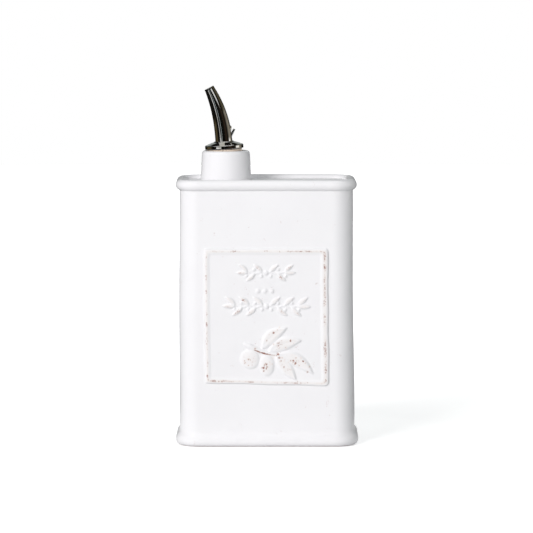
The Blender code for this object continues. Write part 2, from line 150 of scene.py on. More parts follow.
# The pourer
FLANGE_RADIUS = 0.01265
FLANGE_FOOT = CORK_STAND + FIT_GAP
FLANGE_SHOULDER = FLANGE_FOOT + 0.0026
FLANGE_CROWN = FLANGE_SHOULDER + 0.0018
FLANGE_SHEET = 0.0007
FLANGE_ROUNDING = 0.0006
FLANGE_BOW = 0.0003
FLANGE_FOOT_FLARE = 0.0001
COLLAR_HEIGHT = 0.0005
COLLAR_WIDTH = 0.0006
COLLAR_BREAK = 0.0002
SPOUT_BASE_RADIUS = 0.00563
SPOUT_TIP_RADIUS = 0.0032
SPOUT_SHEET = 0.0005
SPOUT_FOOT = FLANGE_CROWN - 0.0014
SPOUT_HEIGHT = 0.0376
SPOUT_REACH = 0.0077
SPOUT_BEND_POWER = 2.2
SPOUT_TAPER_POWER = 1.85
SPOUT_ROLL = 0.00012
SPOUT_ROLL_START = 0.972
SLOT_LOW = FLANGE_CROWN + COLLAR_HEIGHT + 0.0010
SLOT_HIGH = SLOT_LOW + 0.0075
SLOT_RADIUS = 0.00105
HOOD_REACH = 0.0007
HOOD_LOW = (SLOT_HIGH - 0.0030, SLOT_HIGH - 0.0002)
HOOD_HIGH = (SLOT_HIGH + 0.0003, SLOT_HIGH + 0.0013)
HOOD_SIDE = (SLOT_RADIUS * 0.9, SLOT_RADIUS + 0.0009)
STEM_RADIUS = 0.00455
STEM_WALL = 0.0005
STEM_TOP = SPOUT_FOOT + 0.0012
STEM_BEAD = 0.0008
STEM_BEAD_TOP = CORK_FOOT - FIT_GAP
STEM_BEAD_FOOT = STEM_BEAD_TOP - 2 * STEM_BEAD
STEM_FOOT = STEM_BEAD_FOOT - 0.0030
AIR_RADIUS = 0.00075
AIR_BORE = 0.00045
AIR_OFFSET = STEM_RADIUS - STEM_WALL - FIT_GAP - AIR_RADIUS
AIR_FOOT = STEM_FOOT - 0.0080
AIR_TURN = SPOUT_FOOT + 0.0002
AIR_BEND = 29
AIR_BEND_RADIUS = 0.0060
AIR_REACH = 0.0074

# The sprig: places are shares of the panel's width and height from its middle, to the right and up. A
# leaf has its base, its tip, its width and how far its middle line bends to the left of its course, and
# an olive its middle, width and length.
LEAVES = (
    ((-0.040, -0.236), (0.167, -0.077), 0.108, 0.0021),
    ((0.014, -0.256), (0.283, -0.169), 0.112, 0.0017),
    ((0.083, -0.270), (0.374, -0.413), 0.108, 0.0026),
    ((0.078, -0.274), (0.235, -0.461), 0.102, -0.0003),
)
OLIVES = (((-0.138, -0.315), (0.158, 0.144)), ((-0.002, -0.356), (0.122, 0.160)))
TWIG = (
    (-0.176, -0.203), (-0.120, -0.223), (-0.072, -0.246), (-0.025, -0.262), (0.030, -0.266), (0.075, -0.275),
)
TWIG_RADII = (0.0010, 0.0019, 0.0011)
# A dark clay-brown line along the twig's lower slope, with no groove in the relief: its place below the
# twig's middle line and its width
LOWER_LINE_PLACE = 0.00075
LOWER_LINE_WIDTH = 0.00055

# Chips in the glaze of the sprig: place in thousandths of the panel's width and height, radius in tenths
# of a millimetre, and depth in hundredths
CHIPS = (
    (59, -114, 9, 80), (87, -93, 7, 50), (0, -172, 10, 42), (55, -201, 8, 42), (190, -173, 11, 80),
    (155, -224, 10, 66), (163, -180, 9, 48), (93, -192, 11, 30), (191, -319, 9, 60), (228, -337, 11, 60),
    (235, -296, 9, 60), (291, -322, 9, 58), (309, -336, 8, 48), (262, -350, 11, 38), (172, -330, 8, 46),
    (210, -330, 8, 42), (101, -297, 9, 46), (112, -322, 10, 42), (138, -323, 9, 44), (150, -385, 14, 28),
    (-151, -313, 10, 60), (-176, -339, 13, 42), (-119, -330, 13, 26), (-94, -326, 8, 26), (-5, -345, 11, 66),
    (4, -366, 10, 58), (24, -349, 10, 42), (40, -345, 7, 46), (-29, -373, 9, 46), (-27, -396, 9, 46),
    (-92, -234, 9, 55), (47, -300, 9, 52), (90, -273, 9, 50), (124, -297, 9, 52), (144, -310, 8, 50),
    (137, -365, 9, 46), (192, -384, 8, 44), (212, -316, 9, 56), (273, -297, 9, 50), (328, -396, 8, 50),
    (341, -358, 8, 48), (22, -332, 9, 52), (-20, -352, 8, 52), (-6, -380, 9, 50), (-134, -316, 8, 46),
    (-182, -326, 8, 46), (-148, -358, 8, 42), (105, -75, 7, 46),
)
CHIP_UNITS = (1000, 1000, 10, 100)

# The garlands: middle, half length and a leaf's length in metres, and the leaves on each side's stem
GARLANDS = (((0, 0.0289), 0.0195, 0.0074, 3), ((0.0003, 0.0069), 0.0290, 0.0086, 5))
GARLAND_STEM = 0.0005
GARLAND_BERRY = (0.0021, 0.0024)
GARLAND_MIDDLE_BEAD = (0.0030, 0.0034)
GARLAND_LEAF_TURN = math.radians(40)
BEAD_ROW = ((-0.0054, 0.0169), (-0.0008, 0.0169), (0.0038, 0.0169))
BEAD_WIDTH = 0.0030

# The floor, and glowing cards that only mirrors see, which paint reflections of bright strips and of a dark
# room into the chrome and the glaze. A card stands on a cylinder round the can, with a middle angle, half
# width and soft edge in degrees, lowest and highest height in metres, and colour. The first six glow white
# or pale and paint highlights; the rest paint khaki, brown and grey reflections.
FLOOR_RADIUS = 3.0
ROOM_RADIUS = 1.1
CARDS = (
    (-40, 47, 4, 0.85, 2.2, "#FFFFFF"),
    (19, 19, 3, 0.59, 0.86, "#FFFFFF"),
    (89, 13, 4, 0.17, 0.265, "#FFFFFF"),
    (-175, 3.8, 2, 0.95, 1.35, "#FFFFFF"),
    (-34, 15, 4, 0.04, 0.122, "#FFFFFF"),
    (-20.5, 1.7, 2, 0.13, 0.34, "#D5E2E6"),
    (100, 24, 34, 0.02, 0.62, "#918A7D"),
    (100, 24, 34, 0.62, 1.00, "#5A5340"),
    (-104, 20, 24, 0.02, 0.17, "#564B34"),
    (38, 14, 16, 0.12, 0.62, "#2C2017"),
    (180, 16, 4, 0.40, 0.80, "#969B99"),
    (180, 16, 4, 0.40, 0.55, "#8E9391"),
)
CARD_LOW_EDGE = 0.012
CARD_HIGH_EDGE = 0.02

# The lamps: place, size in metres, watts and tint
LAMPS = {
    "key": ((-2.78, -4.22, 2.30), 2.2, 206, (1.0, 0.985, 0.985)),
    "low_front": ((0.10, -1.75, 0.10), 0.8, 3.6, (1.0, 0.985, 0.985)),
    "fill": ((0.55, 1.60, 0.45), 1.1, 14, (0.98, 1.0, 1.0)),
}
LAMP_TARGET = (0, 0, 0.10)
CAMERA_PLACE = (0, -2.1, 0.312)
CAMERA_TARGET = (0, 0, 0.11605)
CAMERA_LENS = 215
CAMERA_SENSOR = 36


def srgb(code):
    """A colour written as a hex value, as linear red, green and blue."""
    values = [int(code[i : i + 2], 16) / 255 for i in (1, 3, 5)]
    return tuple(v / 12.92 if v <= 0.04045 else ((v + 0.055) / 1.055) ** 2.4 for v in values)


def opaque(colour, factors=1):
    """A colour with each channel times its factor, and alpha 1."""
    return (*(np.array(colour) * factors), 1)


def length_setting(name, description, default, least=0):
    """A length that a user may change."""
    words = {"name": name, "description": description}
    return FloatProperty(**words, default=default, min=least, unit="LENGTH", precision=5)


def colour_setting(name, description, code):
    """A colour that a user may change."""
    words = {"name": name, "description": description}
    return FloatVectorProperty(**words, default=srgb(code), subtype="COLOR", min=0, max=1)


class OilCanSizes(bpy.types.PropertyGroup):
    """Sizes of the can's surface that a user may change"""

    unevenness: length_setting("Unevenness", "How far the hand-finished shell waves in and out", 0.00028)
    lean: length_setting("Lean", "How far the top is out of line with the foot", 0.0007, -0.005)
    panel_thickness: length_setting("Panel thickness", "How far its field stands out from the wall", 0.0010)
    frame_height: length_setting("Frame height", "How far the moulding stands out from the field", 0.0005)
    leaf_height: length_setting("Leaf height", "Relief of a leaf at its midrib", 0.0013)
    olive_height: length_setting("Olive height", "Relief of an olive at its middle", 0.0015)
    garland_height: length_setting("Garland height", "Relief of the small garlands", 0.0011)


class OilCanFinishes(bpy.types.PropertyGroup):
    """Colours and wear of the can, the cork and the pourer"""

    glaze: colour_setting("Glaze", "The tin glaze", "#F4F3F5")
    clay: colour_setting("Clay", "The body where it is bare", "#8A4B38")
    cork: colour_setting("Cork", "The cork's cut face", "#FDEBD9")
    chrome: colour_setting("Chrome", "The plated metal", "#D6D7D6")
    wear: FloatProperty(
        name="Wear", description="How much glaze has gone from the raised edges", default=1.0, min=0, max=2
    )


def ease(value, low, high):
    """0 below low, 1 above high, and 3t2 - 2t3 of the share t between them."""
    t = np.clip((value - low) / (high - low), 0, 1)
    return t * t * (3 - 2 * t)


def ripple(turns, phase=0):
    """A sine wave, sin(2 pi turns + phase)."""
    return np.sin(math.tau * turns + phase)


def joined(*pieces):
    """Arrays one after another."""
    return np.concatenate(pieces)


def points_of(*axes):
    """Points from their coordinates, which are repeated to one another's shape."""
    return np.stack(np.broadcast_arrays(*axes), axis=-1)


def directions_round(steps, shift=0):
    """Directions (cos a, sin a) at equal steps round a circle."""
    a = np.linspace(0, math.tau, steps, endpoint=False) + shift
    return np.cos(a), np.sin(a)


def arc(middle, radii, start, end, steps):
    """An ellipse's points from one angle in degrees to another: middle + radii x (cos a, sin a)."""
    a = np.radians(np.linspace(start, end, steps + 1))
    return middle + points_of(np.cos(a), np.sin(a)) * radii


def shares_along(steps, like):
    """Equal steps from 0, which is left out, to 1, shaped to multiply a point or a ring of points."""
    return np.linspace(0, 1, steps + 1)[1:].reshape(-1, *[1] * np.ndim(like))


def blend(start, bend, end, steps):
    """Points after the first of the parabola (1-t)2 start + 2t(1-t) bend + t2 end."""
    t = shares_along(steps, start)
    return (1 - t) ** 2 * np.array(start) + 2 * t * (1 - t) * np.array(bend) + t**2 * np.array(end)


def between(start, end, steps):
    """Points, or rings of points, after the first on the straight way from start to end."""
    t = shares_along(steps, start)
    return (1 - t) * np.array(start) + t * np.array(end)


def outline(start, *moves):
    """Points after the start of one unbroken line. A move (end, steps) is straight, and a move (bend, end,
    steps) is a parabola."""
    pieces = []
    for *corners, steps in moves:
        pieces.append((between, blend)[len(corners) - 1](start, *corners, steps))
        start = corners[-1]
    return joined(*pieces)


def drawn_in(ring, middle, shares):
    """Copies of a ring, each at its share of the way out from a middle."""
    return middle + np.array(shares)[:, None, None] * (ring - middle)


def circles(directions, profile, middle_x=0):
    """Circles round upright lines, a point in each direction: middle + radius (cos, sin), for each (radius,
    height) of a profile."""
    radius, height = profile.T[..., None]
    return points_of(np.reshape(middle_x, (-1, 1)) + radius * directions[0], radius * directions[1], height)


def grid_quads(rows, columns, wrap_columns=True, wrap_rows=False):
    """Four-cornered faces of a grid, whose last column or row may join its first."""
    index = np.arange(rows * columns).reshape(rows, columns)
    if wrap_columns:
        index = np.concatenate([index, index[:, :1]], axis=1)
    if wrap_rows:
        index = joined(index, index[:1])
    corners = (index[:-1, :-1], index[:-1, 1:], index[1:, 1:], index[1:, :-1])
    return np.stack(corners, axis=-1).reshape(-1, 4)


def fan(ring, pole):
    """Triangles from a closed ring of points to one pole, to the left of the ring's direction."""
    return np.stack([ring, np.roll(ring, -1), np.full(len(ring), pole)], axis=1)


def put_object(name, data):
    """Puts an object of this data into the scene."""
    made = bpy.data.objects.new(name, data)
    bpy.context.scene.collection.objects.link(made)
    return made


def put_mesh(name, points, quads, triangles=()):
    """A smooth mesh object from arrays of points and faces. It stays at the origin."""
    mesh = bpy.data.meshes.new(name)
    mesh.vertices.add(len(points))
    mesh.vertices.foreach_set("co", points.astype(np.float32).ravel())
    corners = joined(np.ravel(quads), np.ravel(triangles)).astype(np.int32)
    starts = joined(4 * np.arange(len(quads)), quads.size + 3 * np.arange(len(triangles)))
    mesh.loops.add(len(corners))
    mesh.loops.foreach_set("vertex_index", corners)
    mesh.polygons.add(len(starts))
    mesh.polygons.foreach_set("loop_start", starts.astype(np.int32))
    mesh.update(calc_edges=True)
    mesh.validate()
    mesh.shade_smooth()
    return put_object(name, mesh)


def put_closed_rings(name, rings):
    """Skins rings of points, (rings, points, 3), and closes both ends with a pole."""
    rows, columns, _ = rings.shape
    points = joined(rings.reshape(-1, 3), [rings[0].mean(axis=0), rings[-1].mean(axis=0)])
    first = np.arange(columns)[::-1]
    last = np.arange(columns) + (rows - 1) * columns
    ends = joined(fan(first, rows * columns), fan(last, rows * columns + 1))
    return put_mesh(name, points, grid_quads(rows, columns), ends)


def on_stopper(points):
    """Tips points from the stopper's own upright axis to its place: x' = x cos l - z sin l, z' = x sin l +
    z cos l."""
    x, y, z = np.moveaxis(points, -1, 0)
    sine, cosine = math.sin(STOPPER_LEAN), math.cos(STOPPER_LEAN)
    return points_of(x * cosine - z * sine, y, x * sine + z * cosine) + STOPPER_PLACE


def put_turned_ring(name, profile, columns=192):
    """Turns a closed profile of (radius, height), given in pieces, round the stopper's axis."""
    rings = on_stopper(circles(directions_round(columns), joined(*profile)))
    return put_mesh(name, rings.reshape(-1, 3), grid_quads(*rings.shape[:2], wrap_rows=True))


def add_attribute(piece, name, values, kind="FLOAT", field="value"):
    """Stores a number or a colour for each point of the piece."""
    layer = piece.data.attributes.new(name, kind, "POINT")
    layer.data.foreach_set(field, values.astype(np.float32).ravel())


def settle(piece, body, node, material):
    """Gives the piece its finish and its body, and hides the solid that it stands for."""
    piece.data.materials.append(material)
    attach(piece, body)
    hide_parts(node)


def hand_made(points, sizes):
    """Moves points as a cast shell that was finished by hand is uneven: a lean of the whole can, and
    sine waves of 92 to 210 mm along each axis. They fade out round the neck and at the floor."""
    x, y, z = np.moveaxis(points, -1, 0)
    near_neck = 1 - ease(np.hypot(x + NECK_OFFSET, y), *NEAR_NECK)
    free = 1 - near_neck * ease(z, *UP_TO_NECK)
    wave = sizes.unevenness
    across = sizes.lean * (0.5 - z / CAN_HEIGHT) + 0.8 * wave * ripple(z / 0.130 + y / 0.210, 0.6)
    deep = wave * ripple(x / 0.092, 0.5) * ripple(z / 0.118, 0.9 + math.pi / 2)
    up = wave * (0.6 * ripple(x / 0.210, 1.2) + 0.5 * ease(y, 0, DEPTH / 2))
    return points + free[..., None] * points_of(across, deep, up * ease(z, *OFF_THE_FLOOR))


def outline_shares():
    """The can's outline, from the middle of its right side, as three arrays: shares of the way to the
    corners' middles across and deep, and the angle at which the corner radius is laid on them. A stop has
    all three, and counts has the number of points from one stop to the next."""
    stops = (
        (1, 0, 0), (1, 1, 0), (1, 1, 90), (-1, 1, 90), (-1, 1, 180), (-1, -1, 180), (-1, -1, 270),
        (1, -1, 270), (1, -1, 360), (1, 0, 360),
    )
    counts = (15, 33, 96, 33, 30, 33, 96, 33, 15)
    runs = [np.linspace(*way, endpoint=False) for way in zip(stops, stops[1:], counts)]
    across, deep, angle = joined(*runs).T
    return across, deep, np.radians(angle)


def can_rings(profile):
    """Rounded rectangles from (offset, height): corner middles x share + (corner radius + offset) x
    direction."""
    across, deep, angle = outline_shares()
    offset, height = profile.T[..., None]
    half_width = (WIDTH_BASE + (WIDTH_TOP - WIDTH_BASE) * height / CAN_HEIGHT) / 2 - CORNER_RADIUS
    x = half_width * across + (CORNER_RADIUS + offset) * np.cos(angle)
    y = (DEPTH / 2 - CORNER_RADIUS) * deep + (CORNER_RADIUS + offset) * np.sin(angle)
    return points_of(x, y, height)


def bead_profile(middle_height, half_height, towards, leaving):
    """The bead's outer arc and the parabola that carries it into the wall."""
    angle, run_out = leaving
    points = arc((RIM_MIDDLE, middle_height), (RIM_HALF_WIDTH, half_height * towards), -90, angle, 22)
    leaves = points[-1]
    slope = half_height / RIM_HALF_WIDTH / math.tan(math.radians(angle))
    wall_height = leaves[1] + towards * slope * leaves[0]
    return joined(points, blend(leaves, (0, wall_height), (0, wall_height + towards * run_out), 8))


def outside_profile():
    """(offset, height) from the rounded edge of the recessed underside to the edge of the recessed top."""
    foot = bead_profile(FOOT_RIM_HALF_HEIGHT, FOOT_RIM_HALF_HEIGHT, 1, FOOT_RIM_LEAVING)
    middle = (RIM_MIDDLE, CAN_HEIGHT - TOP_RIM_HALF_HEIGHT)
    top = bead_profile(middle[1], TOP_RIM_HALF_HEIGHT, -1, TOP_RIM_LEAVING)[::-1]
    inner = arc(middle, (RIM_HALF_WIDTH, TOP_RIM_HALF_HEIGHT), 90, 180, 10)[1:]
    inside = RIM_MIDDLE - RIM_HALF_WIDTH
    edge, bend = (UNDERSIDE_EDGE, FOOT_RECESS), (FOOT_BEND, FOOT_RECESS)
    underside = outline(edge, (bend, (FOOT_EDGE, 0), 6), (foot[0], 3))
    down = blend(inner[-1], (inside, TOP_HEIGHT), (inside - RECESS_BLEND, TOP_HEIGHT), 7)
    return joined(underside[:-1], foot, between(foot[-1], top[0], 38)[:-1], top, inner, down)


def cork_radius(height):
    """The cork's radius: its foot radius plus its taper times the share of its length."""
    return CORK_FOOT_RADIUS + (CORK_TOP_RADIUS - CORK_FOOT_RADIUS) * (height - CORK_FOOT) / CORK_LENGTH


def build_can_shell(sizes):
    """The whole can as one closed surface of rings: the underside, up the profile, across the recessed
    top to the neck, over its lip, down the leaning bore and round the chamber to its floor."""
    outside = can_rings(outside_profile())
    underside_edge = can_rings(np.array([[UNDERSIDE_EDGE, FOOT_RECESS]]))
    underside = drawn_in(underside_edge, np.array([0, 0, FOOT_RECESS]), UNDERSIDE_SHARES)

    edge = outside[-1]
    away = edge[:, :2] - (-NECK_OFFSET, 0)
    directions = (away / np.linalg.norm(away, axis=1, keepdims=True)).T
    root = (NECK_BASE_RADIUS + NECK_FILLET, TOP_HEIGHT)
    recess = between(edge, circles(directions, np.array([root]), -NECK_OFFSET)[0], 10)
    lip_height = MOUTH_HEIGHT - LIP_ROUNDING
    neck = outline(
        root,
        ((NECK_BASE_RADIUS, TOP_HEIGHT), (NECK_BASE_RADIUS, TOP_HEIGHT + NECK_FILLET), 9),
        ((NECK_TOP_RADIUS, lip_height), 11),
    )
    lip = arc((NECK_TOP_RADIUS - LIP_ROUNDING, lip_height), LIP_ROUNDING, 0, 90, 10)
    neck = circles(directions, joined(neck[:-1], lip), -NECK_OFFSET)

    mouth = cork_radius(0) + FIT_GAP
    bore = cork_radius(CORK_FOOT) + FIT_GAP
    ceiling = TOP_HEIGHT - WALL
    end = ceiling - MOUTH_HEIGHT
    passage = outline(
        (mouth + MOUTH_FLARE, 0),
        ((mouth + MOUTH_BEND, 0), (mouth, -MOUTH_BEVEL), 6),
        ((bore, CORK_FOOT), 7),
        ((bore, end + BORE_RUN_OUT), 3),
        ((bore, end), (bore + MM, end), 4),
    )
    middles = STOPPER_PLACE[0] - math.tan(STOPPER_LEAN) * passage[:, 1]
    passage = circles(directions, passage + (0, MOUTH_HEIGHT), middles)

    inset = -WALL - CAVITY_ROUNDING
    floor = FOOT_RECESS + FLOOR
    high = arc((inset, ceiling - CAVITY_ROUNDING), CAVITY_ROUNDING, 90, 0, 6)
    low = arc((inset, floor + CAVITY_ROUNDING), CAVITY_ROUNDING, 0, -90, 6)
    chamber = can_rings(joined(high, between(high[-1], low[0], 8)[:-1], low))
    roof = between(passage[-1], chamber[0], 5)[:-1]
    ground = drawn_in(chamber[-1], np.array([0, 0, floor]), GROUND_SHARES)
    shell = hand_made(joined(underside, outside, recess), sizes)
    return put_closed_rings("glazed_can", joined(shell, neck, passage, roof, chamber, ground))


def inside_distance(x, y, half_width, half_height, radius):
    """Distance inwards from a rounded rectangle's edge; negative outside it."""
    dx = np.abs(x) - (half_width - radius)
    dy = np.abs(y) - (half_height - radius)
    outside = np.hypot(np.maximum(dx, 0), np.maximum(dy, 0))
    return radius - outside - np.minimum(np.maximum(dx, dy), 0)


def grid_lines(half):
    """Places of grid lines over the panel and its margin, closer together at the panel's edges: the inverse
    of the running sum of the wanted lines per length."""
    x = np.linspace(-half - PANEL_MARGIN, half + PANEL_MARGIN, 4000)
    near_edge = np.abs(np.abs(x) - half + FINE_BAND_INSET) < FINE_BAND_HALF_WIDTH
    running = np.cumsum(np.where(near_edge, 1 / FINE_STEP, 1 / COARSE_STEP)) * (x[1] - x[0])
    running -= running[0]
    return np.interp(np.linspace(0, running[-1], int(running[-1]) + 1), running, x)


def leaf_relief(x, y, base, tip, width, bend, height):
    """Relief and thin glaze of a leaf. Along t from base to tip, its middle is bent by 4 bend t(1-t), its
    half width is width/2 sin(pi t^0.85)^0.8, and from its midrib to its edge the height is 1 - 0.45 r^3,
    less a furrow along the midrib."""
    along = np.array(tip) - np.array(base)
    length = np.hypot(*along)
    ux, uy = along / length
    dx, dy = x - base[0], y - base[1]
    way = (dx * ux + dy * uy) / length
    t = np.clip(way, 0, 1)
    side = dy * ux - dx * uy - 4 * bend * t * (1 - t)
    half = width / 2 * np.sin(math.pi * t**0.85).clip(0) ** 0.8 + TINY
    r = (np.abs(side) / half).clip(0, 1)
    within = (half - np.abs(side)) * (np.abs(way - t) < TINY)
    furrow = np.exp(-((side / (0.06 * width)) ** 2))
    furrow = furrow * ease(t, 0.05, 0.2) * (1 - ease(t, 0.8, 0.95))
    blade = (1 - 0.45 * r**3 - 0.16 * furrow) * np.sqrt(np.clip(within / (0.11 * width), 0, 1))
    thin = ease(within, 0.08 * width, 0.25 * width)
    return height * blade, thin * ease(t, 0.1, 0.35) * (1 - ease(t, 0.85, 1))


def dome_relief(x, y, middle, width, length, height):
    """Relief of an olive, a berry or a bead, the height of half an ellipsoid, and the square of the share
    of the way to its edge."""
    r2 = ((x - middle[0]) / (width / 2)) ** 2 + ((y - middle[1]) / (length / 2)) ** 2
    return height * np.sqrt((1 - r2).clip(0)), r2


def stem_relief(x, y, path, radii):
    """Relief of a stem: half a round rod whose middle line is a polyline and whose radius changes along
    it. It also gives the signed distance from the line and the share of the way along it."""
    best = np.full((4, *x.shape), 1 / TINY)
    count = len(path) - 1
    for i in range(count):
        ax, ay = path[i]
        dx, dy = path[i + 1] - path[i]
        t = np.clip(((x - ax) * dx + (y - ay) * dy) / (dx * dx + dy * dy), 0, 1)
        away = np.hypot(x - ax - t * dx, y - ay - t * dy)
        side = np.sign((y - ay) * dx - (x - ax) * dy) * away
        radius = radii[i] + t * (radii[i + 1] - radii[i])
        best = np.where(away < best[0], (away, radius, side, (i + t) / count), best)
    away, radius, side, share = best
    return 1.15 * np.sqrt((radius**2 - away**2).clip(0)), side, share


def smooth_path(points, steps=36):
    """A smooth curve through a few points: each coordinate is a cubic of the way along."""
    t = np.linspace(0, 1, len(points))
    fine = np.linspace(0, 1, steps)
    return points_of(*(np.polyval(np.polyfit(t, axis, 3), fine) for axis in points.T))


def garland_relief(x, y, middle, half_length, leaf_length, count, height):
    """A garland of olive leaves, the same to both sides of a bead. On each side a stem that waves as
    0.5 mm sin(2 pi x / pitch) carries leaves by turns above and below at 40 degrees, a berry across from
    each, and one leaf at its end."""
    x, y = np.abs(x - middle[0]), y - middle[1]
    starts = np.linspace(2.6 * MM, half_length - 0.98 * leaf_length, count)
    pitch = 2 * (starts[1] - starts[0])
    way = np.linspace(1.2 * MM, half_length - 0.8 * leaf_length, 24)
    stem = points_of(way, GARLAND_STEM * ripple(way / pitch))
    relief, _, _ = stem_relief(x, y, stem, np.full(len(way), GARLAND_STEM))
    worn = np.zeros(x.shape)
    leaves = [((half_length - leaf_length, 0), 0, 0)]
    for i, start in enumerate(starts):
        side = 1 - 2 * (i % 2)
        leaves.append(((start, side * 0.6 * MM), side * GARLAND_LEAF_TURN, side * 0.05 * leaf_length))
        berry_middle = (start + GARLAND_STEM, -side * GARLAND_BERRY[0])
        berry, _ = dome_relief(x, y, berry_middle, *GARLAND_BERRY, 0.8 * height)
        relief = np.maximum(relief, berry)
    for base, turn, bend in leaves:
        tip = (base[0] + leaf_length * math.cos(turn), base[1] + leaf_length * math.sin(turn))
        leaf, thin = leaf_relief(x, y, base, tip, 0.36 * leaf_length, bend, height)
        relief = np.maximum(relief, leaf)
        worn = np.maximum(worn, thin)
    bead, _ = dome_relief(x, y, (0, 0), *GARLAND_MIDDLE_BEAD, height)
    return np.maximum(relief, bead), worn


def softened(values, passes):
    """Rounds a field off as glaze does: each pass averages a point with its neighbours by 1, 2, 1, along
    one axis and then the other."""
    for _ in range(passes):
        for _ in range(2):
            padded = np.pad(values, ((1, 1), (0, 0)), mode="edge")
            values = ((padded[:-2] + 2 * padded[1:-1] + padded[2:]) / 4).T
    return values


def plate_field(x, y, sizes):
    """The plate with its uneven, rounded edge, and the moulding whose height is sin(pi s)^0.85 of the
    share s of its width. Gives the height, the distance inwards from the plate's edge, and the wear, which
    follows the moulding's crown and is strong along parts of the top, the right and the bottom."""
    wobble = PANEL_WOBBLE * (ripple(x / 0.037, 1.3) + ripple(y / 0.029, 0.4))
    to_right, to_low = ease(x, -0.01, 0.01), ease(-y, -0.01, 0.01)
    corner = PANEL_CORNER + PANEL_WORN_CORNER * to_right * (1 + to_low)
    inside = inside_distance(x, y, *PANEL_SIZE / 2, corner) + wobble
    to_field = 0.6 * wobble - inside_distance(x - FIELD_MIDDLE, y, *FIELD_HALF, FIELD_CORNER)
    share = np.clip(inside / (inside + to_field.clip(0) + TINY), 0, 1)
    rise = np.sqrt(1 - (1 - np.clip(inside / PANEL_ROUNDING, 0, 1)) ** 2)
    moulding = np.where(to_field > 0, np.sin(math.pi * share), 0) ** 0.85
    height = sizes.panel_thickness * rise + sizes.frame_height * moulding
    height += PANEL_SWELL * ripple(x / 0.031, 2) * ripple(y / 0.043) * (inside > 2 * MM)

    crown = np.exp(-(((share - 0.44) / 0.22) ** 2)) * (to_field > 0) * (inside > 0)
    across, up = x / PANEL_SIZE[0], y / PANEL_SIZE[1]
    top, bottom, right = up > 0.44, up < -0.44, across > 0.42
    strong = top * ease(across, 0.18, 0.26) + bottom * (1 - ease(across, -0.16, -0.08))
    strong = strong + bottom * ease(across, 0.38, 0.44) + right * ease(up, 0.13, 0.18)
    return height, inside, crown * (0.305 + 0.15 * np.clip(strong, 0, 1))


def panel_field(x, y, sizes):
    """Height above the wall and wear of each point of the panel: the plate, and on it the ornament, of
    which the highest counts. A chip's wear is depth x exp(-(distance / radius)^2)."""
    height, inside, worn = plate_field(x, y, sizes)
    relief = np.zeros(x.shape)
    for base, tip, width, bend in LEAVES:
        ends = base * PANEL_SIZE, tip * PANEL_SIZE
        leaf, thin = leaf_relief(x, y, *ends, width * PANEL_SIZE[0], bend, sizes.leaf_height)
        over = leaf > 0.5 * relief
        worn = np.where(over & (leaf > 0), 0.20 * thin, worn)
        relief = np.where(over, np.maximum(leaf, 0.75 * leaf + 0.45 * relief), relief)
    path = smooth_path(TWIG * PANEL_SIZE)
    radii = np.interp(np.linspace(0, 1, len(path)), (0, 0.12, 1), TWIG_RADII)
    twig, side, along = stem_relief(x, y, path, radii)
    # A dark clay-brown line along the twig's lower slope, below its middle line; the relief has no groove
    # there.
    lower_line = np.exp(-(((side + LOWER_LINE_PLACE) / LOWER_LINE_WIDTH) ** 2))
    lower_line = lower_line * ease(along, 0.22, 0.36) * (1 - 0.5 * ease(along, 0.75, 0.95))
    worn = np.maximum(np.where(twig > relief, 0, worn), 0.85 * lower_line)
    relief = np.maximum(relief, 0.72 * twig)
    for middle, size in OLIVES:
        olive, r2 = dome_relief(x, y, middle * PANEL_SIZE, *size * PANEL_SIZE, sizes.olive_height)
        worn = np.where(olive > relief, 0.17 * (1 - r2).clip(0), worn)
        relief = np.maximum(relief, olive)
    for *place, radius, depth in np.array(CHIPS) / CHIP_UNITS:
        across, up = place * PANEL_SIZE
        away2 = (x - across) ** 2 + (y - up) ** 2
        worn = np.maximum(worn, depth * np.exp(-away2 / (radius * MM) ** 2))
    for row in GARLANDS:
        garland, thin = garland_relief(x, y, *row, sizes.garland_height)
        worn = np.where(garland > relief, 0.26 * thin, worn)
        relief = np.maximum(relief, garland)
    for middle in BEAD_ROW:
        bead, _ = dome_relief(x, y, middle, BEAD_WIDTH, BEAD_WIDTH, 0.8 * sizes.garland_height)
        relief = np.maximum(relief, bead)
    pooled = POOL_DEPTH * (1 - np.clip(-inside / POOL_WIDTH, 0, 1)) ** 2
    sunk = PANEL_SINK * ease(-inside, *PANEL_SINK_OVER)
    return softened(height + relief, 2) + pooled - sunk, worn


def build_relief_panel(sizes):
    """The panel as a sheet of heights over a grid, whose edge dips into the wall and is closed behind.
    Its lower edge falls to the right: z = middle + y - fall x/width (0.5 - y/height)."""
    width, height = PANEL_SIZE
    x, y = np.meshgrid(grid_lines(width / 2), grid_lines(height / 2))
    z = PANEL_MIDDLE_HEIGHT + y - PANEL_FALL * x / width * (0.5 - y / height)
    height, worn = panel_field(x, y, sizes)
    points = hand_made(points_of(x, FRONT - height, z), sizes).reshape(-1, 3)
    index = np.arange(x.size).reshape(x.shape)
    edge = joined(index[0, :-1], index[:-1, -1], index[-1, :0:-1], index[:0:-1, 0])
    points = joined(points, [[0, FRONT + PANEL_BACK, PANEL_MIDDLE_HEIGHT]])
    quads = grid_quads(*x.shape, wrap_columns=False)
    piece = put_mesh("relief_panel", points, quads, fan(edge[::-1], x.size))
    add_attribute(piece, "worn", np.append(worn, 0))
    return piece


def build_cork():
    """A closed profile turned round the stopper's axis: a tapered plug with a hole for the stem."""
    hole = STEM_RADIUS + FIT_GAP
    low, high = CORK_FOOT + CORK_CHAMFER, CORK_STAND - CORK_CHAMFER / 2
    profile = outline(
        (hole, CORK_FOOT),
        ((CORK_FOOT_RADIUS - CORK_CHAMFER, CORK_FOOT), 5),
        ((cork_radius(CORK_FOOT), CORK_FOOT), (cork_radius(low), low), 5),
        ((cork_radius(high), high), 24),
        ((CORK_TOP_RADIUS, CORK_STAND), (CORK_TOP_RADIUS - CORK_CHAMFER / 2, CORK_STAND), 5),
        ((hole, CORK_STAND), 6),
        ((hole, CORK_FOOT), 10),
    )
    return put_turned_ring("tapered_cork", [profile])


